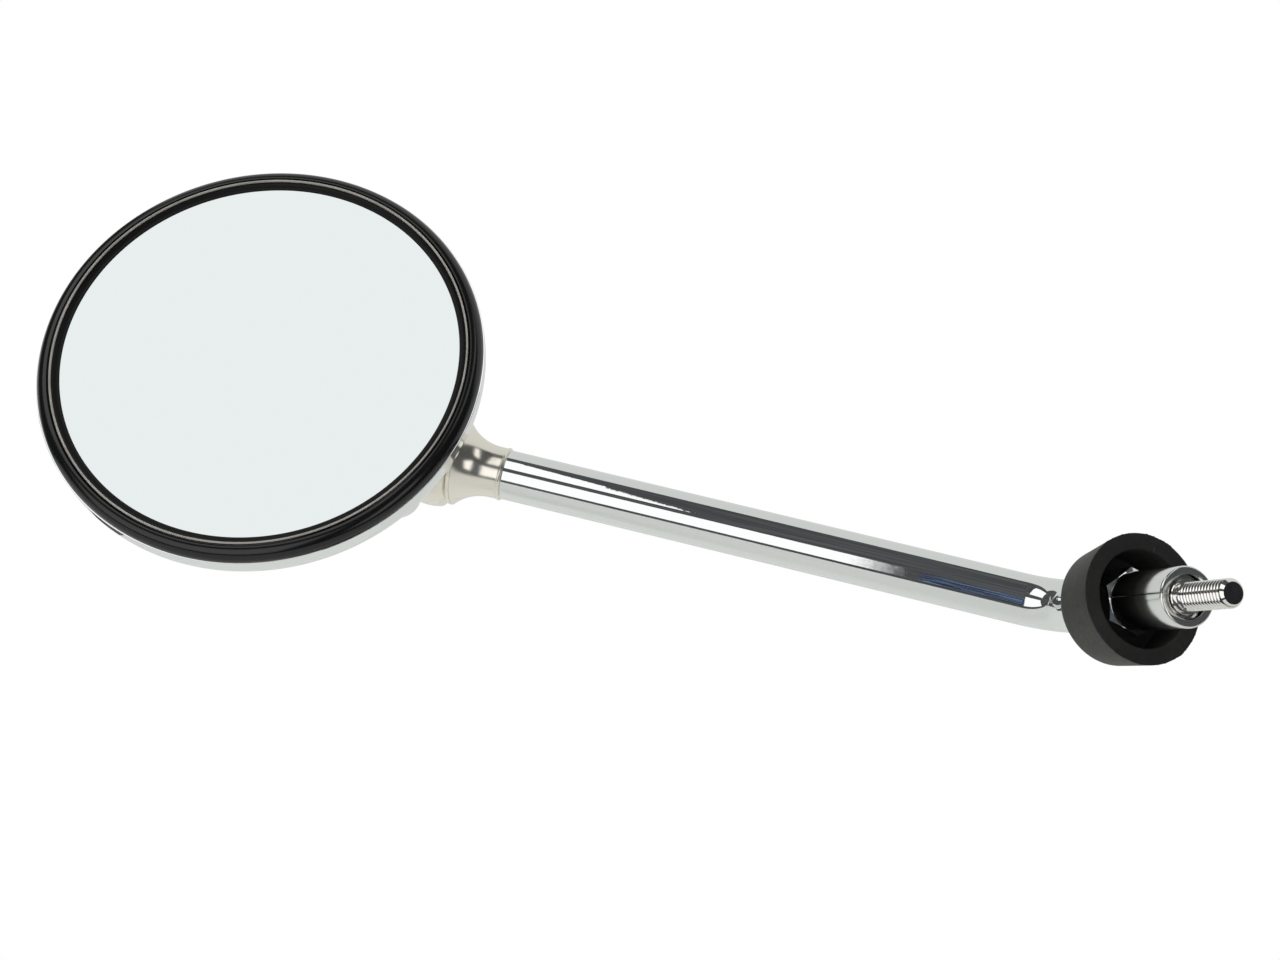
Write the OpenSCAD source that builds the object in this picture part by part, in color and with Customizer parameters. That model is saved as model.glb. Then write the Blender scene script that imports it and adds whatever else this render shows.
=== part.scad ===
// Round mirror for a moped or motorcycle on a bent tube stem, in millimetres.
// The stud points along -Y and the arm runs level towards -X. The origin lies on the stud's axis,
// in the end face of the spacer sleeve. The head stands as it was last set on its ball joint.

/* [Stud and sleeve] */
// Outer diameter of the stud's thread
stud_d = 8; // [6:0.5:8.5]
// Length of thread that stands out of the sleeve
stud_free = 18.8; // [12:0.2:30]
// Height of the chamfer at the stud's tip
stud_chamfer = 1; // [0.5:0.1:2]
// Diameter of the low shoulder behind the thread
shoulder_d = 9.8; // [9:0.1:10.6]
// Depth of the shoulder's face inside the sleeve
shoulder_recess = 0.6; // [0.2:0.1:2]
// Diameter of the collar that carries the sleeve
collar_d = 11.8; // [11:0.1:12.6]
// Depth of the collar's face inside the sleeve
collar_recess = 3.5; // [2.5:0.1:8]
// Diameter of the stud's rear thread, inside the hexagon fitting
rear_thread_d = 10; // [8:0.5:11]
// Length of the rear thread
rear_thread_len = 18; // [10:1:20]
// Outer diameter of the rolled spacer sleeve
sleeve_d = 16.9; // [15:0.1:16.9]
// Length of the spacer sleeve
sleeve_len = 24; // [20:0.5:40]
// Rounding of the sleeve's outer edges
sleeve_round = 0.8; // [0.3:0.1:1.2]
// Width of the butt seam along the sleeve
seam_w = 0.15; // [0.1:0.05:0.5]
// Turn of the sleeve that brings its seam round, from -X towards +Z
seam_turn = -8; // [-180:1:180]

/* [Hexagon fitting] */
// Width of the hexagon across its flats
hex_af = 17; // [17:0.5:21]
// Length of the hexagon
hex_len = 8; // [5:0.5:14]
// Turn of the hexagon about the stud's axis
hex_turn = 19; // [0:0.1:59]
// Slope of the chamfer on the hexagon's corners, in degrees from its face
hex_chamfer_slope = 30; // [15:1:45]
// How far the hexagon's round face lies inside its flats
hex_face_in = 0.1; // [0.1:0.1:1]
// Length of the spigot brazed into the stem
fitting_spigot_len = 14; // [8:1:15]

/* [Rubber cup] */
// How far the cup's mouth stands in front of the hexagon
cup_over = 3.7; // [2:0.1:9]
// Play between the hexagon's back and the cup's floor
cup_play = 0.4; // [0.3:0.1:1]
// Outer diameter at the cup's mouth
cup_mouth_d = 38; // [34:0.1:40]
// Outer diameter where the cup's back begins to round
cup_back_d = 34.2; // [32:0.1:36]
// Rounding of the cup's back edge
cup_round = 3.2; // [1:0.1:3.5]
// Inner diameter of the cup
cup_bore_d = 28.2; // [25:0.1:29]
// Thickness of the cup's floor, which grips the stem
cup_floor = 4; // [3.5:0.1:4.3]
// Angle by which the loose cup sits askew, with its mouth up
cup_lean = 7; // [0:0.5:8]
// How far the loose cup hangs below the stem's axis
cup_drop = 1.2; // [0:0.1:2]

/* [Stem] */
// Outer diameter of the stem's tube
tube_d = 16; // [15:0.1:16.8]
// Wall of the stem's tube
tube_wall = 1.5; // [1:0.1:2]
// Straight length between the hexagon and the bend
lead_len = 20.2; // [16:0.1:40]
// Radius of the bend at the tube's centre line
bend_r = 18; // [16:1:60]
// Angle of the bend
bend_angle = 67.56; // [20:0.5:90]
// How much the bend's radius of section is under the straight tube's
bend_thinning = 0.05; // [0.04:0.01:0.2]
// Straight length from the bend to the neck
arm_len = 165.5; // [110:0.5:260]

/* [Neck] */
// Distance from the tube's end to the centre of the knuckle
neck_len = 22.5; // [21.5:0.1:28]
// Diameter at the neck's waist
waist_d = 16.7; // [16.4:0.1:18]
// Straight length between the tube and the flare
waist_len = 3.5; // [2:0.1:5]
// Radius of the neck's hollow flare
flare_r = 15.4; // [14:0.1:20]
// Distance of the bell's mouth in front of the centre of the knuckle
bell_gap = 6.2; // [6:0.1:7]
// Diameter of the lip at the bell's mouth
bell_lip_d = 27; // [26.6:0.1:27.6]
// Rounding of the lip's edge
bell_lip_round = 0.6; // [0.3:0.1:0.8]
// Radius of the small bead where the neck meets the tube
neck_bead_r = 0.6; // [0.3:0.1:0.8]
// Length of the neck's spigot inside the tube
neck_spigot_len = 12; // [8:1:16]
// Length of the threaded plug inside the tube
plug_len = 12; // [8:1:16]

/* [Knuckle joint] */
// Diameter of the hollow round knuckle
ball_d = 30.4; // [30:0.1:31]
// Wall of the hollow knuckle
ball_wall = 3.9; // [3.2:0.1:4.2]
// Radius of the knuckle's domed face, which turns in the bell's hollow seat
dome_r = 22; // [21.6:0.1:22.6]
// Distance from the centre of the knuckle back to the centre of the domed face
dome_back = 12; // [11.8:0.1:12.4]
// Thickness of the wall behind the domed face
dome_wall = 4; // [3.4:0.1:4.4]
// Largest tilt either way from the set position
tilt_max = 6; // [3:0.5:6.5]
// Diameter of the threaded rod that draws the knuckle into the bell
rod_d = 6; // [5:0.5:6.5]
// Length of the threaded rod
rod_len = 52; // [48:1:56]
// Length of rod that stands out behind the nut
rod_over = 1.5; // [0.5:0.1:2]
// Width of the nut across its flats
nut_af = 10; // [9:0.5:11]
// Height of the nut
nut_h = 5; // [4:0.1:6]
// Lean of the knuckle's access hole towards the middle of the head
access_lean = 10; // [0:1:12]
// Diameter of the domed washer inside the knuckle
washer_d = 15.2; // [14.8:0.1:15.4]
// Thickness of the domed washer at its rim
washer_edge = 1.6; // [1:0.1:2]
// Outer diameter of the disc springs
spring_d = 12; // [10:0.5:13]
// Thickness of a disc spring
spring_t = 0.8; // [0.5:0.1:1]
// Height of a disc spring's cone
spring_cone = 0.45; // [0.2:0.05:0.6]

/* [Bracket foot] */
// Distance of the foot's centre from the centre of the head
foot_x = 24; // [20:0.5:26]
// Diameter of the bracket's round foot
foot_d = 36; // [34:0.5:38]
// Thickness of the foot
foot_t = 5; // [4:0.1:8]
// Rounding of the foot's rear edge
foot_round = 1.6; // [0.5:0.1:2.5]
// Thickness of the web between foot and knuckle
web_t = 8; // [6:0.1:10]
// Width of the web at the foot
web_foot_w = 27; // [20:1:30]
// Width of the web at the knuckle
web_ball_w = 19; // [14:1:22]
// Thickness of the rubber gasket under the foot
gasket_t = 0.6; // [0.4:0.1:1.5]
// Distance of the foot's screws from its edge
screw_edge = 6; // [5.6:0.1:7]
// Diameter of the foot's screws
screw_d = 5; // [4:0.5:5]
// Diameter of the screws' pan heads
screw_head_d = 9; // [8:0.1:9.4]
// Height of the screws' pan heads
screw_head_h = 3; // [2:0.1:4]
// Thickness of the lock washers
lock_washer_t = 1.2; // [0.8:0.1:1.6]
// Width of the split in a lock washer
washer_split = 0.5; // [0.3:0.1:1]
// Length of the cross slot's arms in a screw's head
slot_len = 5.4; // [4:0.1:6]
// Width of the cross slot
slot_w = 1.1; // [0.8:0.1:1.4]
// Depth of the cross slot
slot_depth = 1.5; // [1:0.1:1.8]
// Thickness of the tapped plate inside the housing
plate_t = 2.5; // [2:0.1:4]
// How far the tapped plate lies inside the pad's wall
plate_in = 0.5; // [0.3:0.1:2]

/* [Head] */
// Distance of the centre of the knuckle from the head's axis, along the arm
ball_x = 56.9; // [54.5:0.1:60]
// Distance of the centre of the knuckle below the head's axis
ball_down = 5.6; // [0:0.1:7]
// Distance of the centre of the knuckle behind the bead's lip
ball_back = 31.8; // [31.4:0.1:34]
// Turn of the head about the arm, as it was last set
swivel_rest = 12.9; // [-30:0.1:30]
// Tilt of the head on its dome, as it was last set
tilt_rest = 1.6; // [-3:0.1:3]

/* [Glass and bead] */
// Width of the bead from the free glass to its outer edge
bead_w = 6.85; // [6.4:0.05:8]
// Thickness of the mirror glass
glass_t = 2.6; // [2:0.1:3]
// Radius of the glass's convex curve
glass_curve_r = 1200; // [800:50:2000]
// Depth of glass edge that the bead covers
glass_cover = 2.8; // [2.6:0.1:3]
// Thickness of the foam pad behind the glass
foam_t = 1; // [0.5:0.1:1.2]
// Thickness of the backing disc
backing_t = 1.5; // [1:0.1:2]
// Distance of the bead's sharp ridge from its lip
ridge_in = 2.4; // [1.8:0.1:2.6]
// Width of the ridge
ridge_w = 0.5; // [0.3:0.1:0.7]
// Height of the ridge over the lip
ridge_h = 1.0; // [0.4:0.1:1.4]
// Height of the rounded outer band over the lip
band_h = 0.7; // [0.2:0.1:1.2]
// Width of the groove outside the ridge
groove_w = 0.8; // [0.5:0.1:1]
// How far the outer band covers the housing's front edge
band_over = 0.5; // [0.2:0.1:0.7]
// Thickness of the bead's lip over the glass
lip_t = 0.9; // [0.6:0.1:1.4]

/* [Housing] */
// Outer diameter of the housing's wall
house_d = 138.8; // [120:0.1:160]
// Thickness of the pressed sheet
sheet_t = 0.8; // [0.6:0.1:1]
// Distance of the housing's front edge behind the bead's lip
mouth_back = 1.8; // [1.2:0.1:3]
// Radius of the housing's rounded shoulder
shoulder_r = 9; // [8.5:0.1:9.5]
// Slope of the housing's back where it leaves the shoulder
back_slope = 12; // [10:0.5:12.5]
// Width of the flange that carries the backing disc
flange_w = 6.4; // [6:0.1:9]
// Length of straight wall between the flange and the shoulder
wall_h = 0.7; // [0.4:0.1:1]
// Height of the flat pad over the middle of the back
pad_h = 1; // [0.6:0.1:1.4]
// How far the pad stands out round the bracket's foot
pad_margin = 0.8; // [0.4:0.1:1.2]
// Radius of the small pressed boss on the shoulder
boss_r = 7.5; // [7:0.1:8]
// Distance of the boss's centre behind the shoulder's
boss_back = 3.5; // [3.2:0.1:4]
// Distance of the boss's centre outside the shoulder's
boss_off = 1.1; // [0.5:0.1:1.6]
// Angle of the boss below the arm
boss_angle = 29; // [28:1:60]

/* [Fits] */
// Play between a turning or sliding piece and what it runs on
run_fit = 0.1; // [0.05:0.01:0.15]
// Play around pieces that are screwed, pressed or brazed together
set_fit = 0.05; // [0.02:0.01:0.1]
// Play of a bolt or screw in its clear hole
clear_fit = 0.2; // [0.1:0.05:0.3]

/* [Hidden] */
$fn = 96;

// A cut runs this far past the face it leaves
past = 1;

// Stations along the stud's axis
hex_back = sleeve_len + hex_len;
hex_face_r = hex_af / 2 - hex_face_in;
cup_mouth = sleeve_len - cup_over;
cup_len = cup_over + hex_len + cup_play + hex_af / 2 / cos(30) * tan(cup_lean) + cup_floor;
cup_pivot = cup_len - cup_floor / 2;
bend_tangent = bend_r * tan(bend_angle / 2);
corner_y = hex_back + lead_len + bend_tangent;
tube_bore_d = tube_d - 2 * tube_wall;
spigot_d = tube_bore_d - 2 * set_fit;

// Angle by which the bend runs into the straight lengths
bend_lap = 0.5;

// Stations along the arm, from where its axis meets the stud's
tube_end = bend_tangent + arm_len;
ball_k = tube_end + neck_len;

// Knuckle joint, measured from the centre of the knuckle
ball_r = ball_d / 2;
ball_bore_r = ball_r - ball_wall;
rod_hole_r = rod_d / 2 + clear_fit;
knuckle_hole_r = rod_hole_r + dome_r * sin(tilt_max);
washer_dome_r = dome_r - dome_wall - run_fit;
washer_back = sqrt(pow(washer_dome_r, 2) - pow(washer_d / 2, 2)) - dome_back - washer_edge;
spring_h = spring_t + spring_cone;
nut_seat = washer_back - 2 * spring_h - 2 * set_fit;
plug_start = neck_len + neck_spigot_len + run_fit;
access_r = washer_d / 2 + clear_fit;

// Head, with z = 0 at the bead's lip and the glass facing +z
house_r = house_d / 2;
bead_r = house_r - sheet_t - set_fit;
lip_r = bead_r - bead_w;
ridge_r = lip_r + ridge_in;
band_r = bead_r + band_over - ridge_r - ridge_w - groove_w;
band_x = bead_r + band_over - band_r;
band_z = lip_t + band_h - band_r;
band_end_z = set_fit - mouth_back;
band_end = asin((band_end_z - band_z) / band_r);
glass_r = lip_r + glass_cover;
glass_sag = pow(glass_r, 2) / (2 * glass_curve_r);
lip_sag = pow(lip_r, 2) / (2 * glass_curve_r);
glass_edge_z = lip_sag - glass_sag - set_fit;
foam_z = glass_edge_z - glass_t;
backing_z = foam_z - foam_t;
flange_z = backing_z - backing_t;
shoulder_z = flange_z - wall_h;
shoulder_x = house_r - shoulder_r;
back_r = shoulder_r + shoulder_x / sin(back_slope);
back_z = shoulder_z + (back_r - shoulder_r) * cos(back_slope);
pad_z = back_z - back_r - pad_h;
boss_out = shoulder_x + boss_off;
pad_d = foot_d + 2 * pad_margin;
screw_circle_r = foot_d / 2 - screw_edge;
foot_z = pad_z - gasket_t;
screw_turns = [180, 60, -60];
screw_len = lock_washer_t + foot_t + gasket_t + sheet_t + plate_t;

// Placing
module along_stud(y) translate([0, y, 0]) rotate([-90, 0, 0]) children();
module at_corner() translate([0, corner_y, 0]) rotate([0, 0, bend_angle - 90]) children();
module along_arm(k) at_corner() translate([-k, 0, 0]) rotate([0, 90, 0]) children();
module at_head() at_corner() translate([-ball_k - dome_back, 0, 0]) rotate([90 - swivel_rest, 0, 0])
    rotate([0, tilt_rest, 0]) translate([dome_back - ball_x, ball_down, ball_back]) children();
module at_ball() translate([ball_x, -ball_down, -ball_back]) children();
module at_dome() translate([ball_x - dome_back, -ball_down, -ball_back]) children();
module at_foot() translate([foot_x, -ball_down, 0]) children();
module at_screw(i) at_foot() rotate([0, 0, screw_turns[i]]) translate([screw_circle_r, 0, 0]) children();

// An arc's points about [x, y], from angle a to angle b
function arc(x, y, r, a, b, steps) =
    [for (i = [0 : steps]) let (t = a + (b - a) * i / steps) [x + r * cos(t), y + r * sin(t)]];

// A rod along the stem's centre line, run out past both ends; bending leaves the bend a hair thinner
module stem_rod(r, run_out) {
    along_stud(hex_back - run_out) cylinder(h = lead_len + run_out, r = r);
    translate([-bend_r, hex_back + lead_len, 0]) rotate([0, 0, -bend_lap])
        rotate_extrude(angle = bend_angle + 2 * bend_lap) translate([bend_r, 0]) circle(r = r - bend_thinning);
    along_arm(tube_end + run_out) cylinder(h = arm_len + run_out, r = r);
}

// Drawn steel tube with one bend
module stem_tube() color("silver") difference() {
    stem_rod(tube_d / 2, 0);
    stem_rod(tube_bore_d / 2, past);
}

// Turned fitting: a hexagon with chamfered corners, and a spigot brazed into the stem
module hex_fitting() color("silver") along_stud(sleeve_len) difference() {
    union() {
        intersection() {
            rotate([0, 0, 30 - hex_turn]) cylinder(h = hex_len, r = hex_af / 2 / cos(30), $fn = 6);
            rotate_extrude() polygon([[0, 0], [hex_face_r, 0],
                [hex_face_r + hex_len, hex_len * tan(hex_chamfer_slope)],
                [hex_face_r + hex_len, hex_len], [0, hex_len]]);
        }
        cylinder(h = hex_len + fitting_spigot_len, r = spigot_d / 2);
    }
    translate([0, 0, -past])
        cylinder(h = hex_len + fitting_spigot_len + 2 * past, r = rear_thread_d / 2 + set_fit);
}

// Turned stud: free thread, low shoulder, collar that carries the sleeve, rear thread
module stud() color("gainsboro") along_stud(0) rotate_extrude() polygon([
    [0, -stud_free], [stud_d / 2 - stud_chamfer, -stud_free], [stud_d / 2, stud_chamfer - stud_free],
    [stud_d / 2, shoulder_recess], [shoulder_d / 2, shoulder_recess],
    [shoulder_d / 2, collar_recess], [collar_d / 2, collar_recess], [collar_d / 2, sleeve_len],
    [rear_thread_d / 2, sleeve_len], [rear_thread_d / 2, sleeve_len + rear_thread_len],
    [0, sleeve_len + rear_thread_len]]);

// Spacer rolled from sheet, with its butt seam
module spacer_sleeve() color("silver") along_stud(0) difference() {
    rotate_extrude() difference() {
        translate([collar_d / 2 + set_fit, 0]) square([(sleeve_d - collar_d) / 2 - set_fit, sleeve_len]);
        edge_round(sleeve_d / 2, 0, sleeve_round);
        translate([0, sleeve_len]) mirror([0, 1]) edge_round(sleeve_d / 2, 0, sleeve_round);
    }
    rotate([0, 0, 180 + seam_turn]) translate([collar_d / 2 - past, -seam_w / 2, -past])
        cube([sleeve_d / 2, seam_w, sleeve_len + 2 * past]);
}

// The corner that a rounding of radius r takes off an outline's edge at [x, y]
module edge_round(x, y, r) difference() {
    translate([x - r, y - past]) square(r + past);
    translate([x - r, y + r]) circle(r = r);
    translate([x - r - past, y + r]) square(r + 3 * past);
}

// Moulded rubber cup with its mouth towards the stud
module rubber_cup() color([0.16, 0.16, 0.15]) along_stud(cup_mouth) difference() {
    translate([0, cup_drop, cup_pivot]) rotate([-cup_lean, 0, 0]) translate([0, 0, -cup_pivot])
        rotate_extrude() difference() {
            polygon(concat([[0, 0], [cup_mouth_d / 2, 0]],
                arc(cup_back_d / 2 - cup_round, cup_len - cup_round, cup_round, 0, 90, 8), [[0, cup_len]]));
            translate([-past, -past]) square([cup_bore_d / 2 + past, cup_len - cup_floor + past]);
        }
    cylinder(h = cup_len + 4 * past, r = tube_d / 2 + run_fit);
}

// Cast neck: spigot in the tube, waist, bell flare with a lip, and a hollow seat for the knuckle
module neck() color([0.82, 0.8, 0.75]) along_arm(ball_k) rotate_extrude() difference() {
    union() {
        difference() {
            translate([0, bell_gap]) square([bell_lip_d / 2, neck_len - waist_len - bell_gap]);
            translate([waist_d / 2 + flare_r, neck_len - waist_len]) circle(r = flare_r);
            edge_round(bell_lip_d / 2, bell_gap, bell_lip_round);
        }
        translate([0, neck_len - waist_len]) square([waist_d / 2, waist_len]);
        translate([waist_d / 2 - neck_bead_r / 2, neck_len - neck_bead_r]) circle(r = neck_bead_r, $fn = 32);
        translate([0, neck_len - past]) square([spigot_d / 2, neck_spigot_len + past]);
    }
    translate([0, -dome_back]) circle(r = dome_r + run_fit);
    translate([-past, 0]) square([rod_hole_r + past, neck_len + neck_spigot_len + past]);
}

// Threaded plug pressed into the tube behind the neck
module tube_plug() color("gray") along_arm(ball_k) translate([0, 0, plug_start]) difference() {
    cylinder(h = plug_len, r = spigot_d / 2);
    translate([0, 0, -past]) cylinder(h = plug_len + 2 * past, r = rod_d / 2 + set_fit);
}

// Threaded rod that stands out of the neck into the knuckle
module ball_stud() color("gray") along_arm(ball_k)
    translate([0, 0, nut_seat - nut_h - rod_over]) cylinder(h = rod_len, r = rod_d / 2);

// Nut that draws the knuckle into the bell
module ball_nut() color("gray") along_arm(ball_k) translate([0, 0, nut_seat - nut_h]) difference() {
    cylinder(h = nut_h, r = nut_af / 2 / cos(30), $fn = 6);
    translate([0, 0, -past]) cylinder(h = nut_h + 2 * past, r = rod_d / 2 + set_fit);
}

// Washer with one flat face and one domed face, inside the knuckle
module domed_washer() color("gray") along_arm(ball_k) difference() {
    intersection() {
        translate([0, 0, -dome_back]) sphere(r = washer_dome_r);
        translate([0, 0, washer_back]) cylinder(h = washer_dome_r, r = washer_d / 2);
    }
    cylinder(h = ball_r, r = rod_hole_r);
}

// Coned spring washer, its inner edge at z = 0 and its outer edge raised
module disc_spring() rotate_extrude() polygon([[rod_hole_r, 0], [spring_d / 2, spring_cone],
    [spring_d / 2, spring_cone + spring_t], [rod_hole_r, spring_t]]);
module disc_spring_inner() color("dimgray") along_arm(ball_k)
    translate([0, 0, nut_seat + set_fit]) disc_spring();
module disc_spring_outer() color("dimgray") along_arm(ball_k)
    translate([0, 0, washer_back - set_fit]) mirror([0, 0, 1]) disc_spring();

// Cast bracket: hollow knuckle with a domed face, web and round foot
module ball_bracket() color([0.82, 0.8, 0.75]) at_head() difference() {
    union() {
        intersection() {
            at_ball() sphere(r = ball_r);
            at_dome() sphere(r = dome_r);
        }
        at_foot() translate([0, 0, foot_z - foot_t]) rotate_extrude() difference() {
            square([foot_d / 2, foot_t]);
            edge_round(foot_d / 2, 0, foot_round);
        }
        translate([0, -ball_down, foot_z - web_t]) linear_extrude(web_t) polygon([
            [foot_x + screw_circle_r, -web_foot_w / 2], [ball_x, -web_ball_w / 2],
            [ball_x, web_ball_w / 2], [foot_x + screw_circle_r, web_foot_w / 2]]);
    }
    intersection() {
        at_ball() sphere(r = ball_bore_r);
        at_dome() sphere(r = dome_r - dome_wall);
    }
    at_dome() rotate([0, 90 - tilt_rest, 0]) cylinder(h = dome_r + past, r = knuckle_hole_r);
    at_ball() rotate([0, -access_lean, 0]) cylinder(h = ball_r + past, r = access_r);
    for (i = [0 : len(screw_turns) - 1]) at_screw(i) translate([0, 0, foot_z - web_t - past])
        cylinder(h = web_t + 2 * past, r = screw_d / 2 + clear_fit);
    for (i = [0 : len(screw_turns) - 1]) at_screw(i) translate([0, 0, foot_z - web_t - past])
        cylinder(h = web_t - foot_t + past, r = screw_head_d / 2 + clear_fit);
}

// Thin rubber gasket between foot and housing
module bracket_gasket() color([0.12, 0.12, 0.12]) at_head() difference() {
    at_foot() translate([0, 0, foot_z]) cylinder(h = gasket_t, r = foot_d / 2);
    for (i = [0 : len(screw_turns) - 1]) at_screw(i) translate([0, 0, foot_z - past])
        cylinder(h = gasket_t + 2 * past, r = screw_d / 2 + clear_fit);
}

// The housing's outer form, or its inner form when it is inset by the sheet
module house_form(inset) {
    rotate_extrude() polygon(concat([[0, -mouth_back], [house_r - inset, -mouth_back]],
        arc(shoulder_x, shoulder_z, shoulder_r - inset, 0, back_slope - 90, 8),
        arc(0, back_z, back_r - inset, back_slope - 90, -90, 8)));
    at_foot() translate([0, 0, pad_z + inset]) cylinder(h = shoulder_r, r = pad_d / 2 - inset);
    rotate([0, 0, -boss_angle]) translate([boss_out, 0, shoulder_z - boss_back]) intersection() {
        sphere(r = boss_r - inset, $fn = 48);
        translate([0, 0, boss_back - boss_r]) cube(2 * boss_r, center = true);
    }
}

// Pressed and chromed housing with a flange inside its mouth, a flat pad and a small boss
module housing() color("gainsboro") at_head() difference() {
    house_form(0);
    difference() {
        house_form(sheet_t);
        translate([0, 0, flange_z - sheet_t]) cylinder(h = sheet_t, r = house_r - sheet_t / 2);
        translate([0, 0, -mouth_back - past]) cylinder(h = 3 * past, r = house_r + past);
    }
    translate([0, 0, flange_z]) cylinder(h = past - flange_z, r = house_r - sheet_t);
    translate([0, 0, flange_z - sheet_t - past])
        cylinder(h = sheet_t + 2 * past, r = house_r - flange_w);
    for (i = [0 : len(screw_turns) - 1]) at_screw(i) translate([0, 0, pad_z - past])
        cylinder(h = sheet_t + 2 * past, r = screw_d / 2 + clear_fit);
}

// Tapped plate that takes the foot's screws inside the housing
module tapped_plate() color("gray") at_head() difference() {
    at_foot() translate([0, 0, pad_z + sheet_t]) cylinder(h = plate_t, r = pad_d / 2 - sheet_t - plate_in);
    for (i = [0 : len(screw_turns) - 1]) at_screw(i) translate([0, 0, pad_z])
        cylinder(h = plate_t + sheet_t + past, r = screw_d / 2 + set_fit);
}

// Pan head screw with a cross slot, standing on its lock washer
module foot_screw(i) color("gainsboro") at_head() at_screw(i)
    translate([0, 0, foot_z - foot_t - lock_washer_t]) difference() {
        union() {
            cylinder(h = screw_len, r = screw_d / 2);
            translate([0, 0, -screw_head_h]) rotate_extrude() difference() {
                square([screw_head_d / 2, screw_head_h]);
                edge_round(screw_head_d / 2, 0, screw_head_h / 2);
            }
        }
        for (turn = [0, 90]) rotate([0, 0, turn]) translate([0, 0, -screw_head_h])
            cube([slot_len, slot_w, 2 * slot_depth], center = true);
    }
module foot_screw_1() foot_screw(0);
module foot_screw_2() foot_screw(1);
module foot_screw_3() foot_screw(2);

// Split lock washer
module lock_washer(i) color("gray") at_head() at_screw(i)
    translate([0, 0, foot_z - foot_t - lock_washer_t]) difference() {
        cylinder(h = lock_washer_t, r = screw_head_d / 2 - clear_fit);
        translate([0, 0, -past]) cylinder(h = lock_washer_t + 2 * past, r = screw_d / 2 + clear_fit);
        translate([0, -washer_split / 2, -past]) cube([screw_head_d, washer_split, lock_washer_t + 2 * past]);
    }
module lock_washer_1() lock_washer(0);
module lock_washer_2() lock_washer(1);
module lock_washer_3() lock_washer(2);

// Stiff disc that closes the housing behind the foam
module backing_disc() color([0.2, 0.2, 0.2]) at_head()
    translate([0, 0, flange_z]) cylinder(h = backing_t, r = glass_r);

// Height of the glass's front over its edge at radius r
function glass_rise(r) = glass_sag - pow(r, 2) / (2 * glass_curve_r);
glass_steps = 12;
glass_radii = [for (i = [0 : glass_steps]) glass_r * (1 - i / glass_steps)];

// Foam pad, flat behind and curved in front as the glass is
module foam_pad() color([0.3, 0.3, 0.3]) at_head() rotate_extrude() polygon(concat(
    [[0, backing_z], [glass_r, backing_z]], [for (r = glass_radii) [r, foam_z + glass_rise(r)]]));

// Convex mirror glass
module mirror_glass() color([0.91, 0.94, 0.93]) at_head() rotate_extrude() polygon(concat(
    [for (i = [glass_steps : -1 : 0]) let (r = glass_radii[i]) [r, foam_z + glass_rise(r)]],
    [for (r = glass_radii) [r, foam_z + glass_t + glass_rise(r)]]));

// Rubber bead in the housing's mouth: pocket for the glass, lip, sharp ridge and round outer band
module rim_bead() color([0.07, 0.07, 0.08]) at_head() rotate_extrude() polygon(concat(
    [[glass_r + set_fit, flange_z], [glass_r + set_fit, glass_edge_z + set_fit], [lip_r, 0],
     [lip_r + ridge_w / 2, lip_t], [ridge_r - ridge_w / 2, lip_t], [ridge_r, lip_t + ridge_h],
     [ridge_r + ridge_w, lip_t + ridge_h], [ridge_r + ridge_w + groove_w / 2, lip_t]],
    arc(band_x, band_z, band_r, 90, band_end, 8), [[bead_r, band_end_z], [bead_r, flange_z]]));

stem_tube();
hex_fitting();
stud();
spacer_sleeve();
rubber_cup();
neck();
tube_plug();
ball_stud();
ball_nut();
domed_washer();
disc_spring_inner();
disc_spring_outer();
ball_bracket();
bracket_gasket();
housing();
tapped_plate();
foot_screw_1();
foot_screw_2();
foot_screw_3();
lock_washer_1();
lock_washer_2();
lock_washer_3();
backing_disc();
foam_pad();
mirror_glass();
rim_bead();
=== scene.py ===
import math
import bmesh
import bpy
from mathutils import Matrix, Vector


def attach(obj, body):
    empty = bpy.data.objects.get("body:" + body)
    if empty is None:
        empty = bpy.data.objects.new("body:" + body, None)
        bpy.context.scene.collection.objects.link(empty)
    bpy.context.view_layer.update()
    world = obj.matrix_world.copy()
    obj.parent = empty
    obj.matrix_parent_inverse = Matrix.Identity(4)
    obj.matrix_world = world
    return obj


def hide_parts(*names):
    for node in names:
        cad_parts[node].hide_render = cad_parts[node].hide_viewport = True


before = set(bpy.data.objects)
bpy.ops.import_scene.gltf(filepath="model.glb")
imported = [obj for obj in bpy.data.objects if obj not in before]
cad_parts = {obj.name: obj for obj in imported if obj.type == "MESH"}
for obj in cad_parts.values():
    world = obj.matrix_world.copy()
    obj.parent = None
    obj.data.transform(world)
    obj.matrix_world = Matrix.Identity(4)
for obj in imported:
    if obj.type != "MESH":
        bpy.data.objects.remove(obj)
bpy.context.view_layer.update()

# Camera
# The camera stands half a metre in front of the arm and a little below it, looks slightly up
# and is rolled, as the edges of the tube, the cup and the bead in the photograph give it.
camera_place = Vector((-0.2496, -0.3677, -0.0932))
camera_right = Vector((0.9223, -0.2911, 0.2542)).normalized()
camera_forward = Vector((0.2445, 0.9489, 0.1995)).normalized()
camera_up = camera_right.cross(camera_forward)
camera_data = bpy.data.cameras.new("camera")
camera_data.lens = 45.0
camera_data.sensor_width = 36.0
camera_data.clip_start = 0.01
camera = bpy.data.objects.new("camera", camera_data)
camera.matrix_world = Matrix.Translation(camera_place) @ Matrix(
    (camera_right, camera_up, -camera_forward)).transposed().to_4x4()
bpy.context.scene.collection.objects.link(camera)
bpy.context.scene.camera = camera
bpy.context.scene.view_settings.view_transform = "Standard"

# Studio
# A pale grey room with a pale table under the arm. In front of the object hangs a dark curtain
# with white diffusers in it: they give the chrome its dark bands and white stripes. A soft light
# hangs above. The camera itself sees plain white behind the object.


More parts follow.
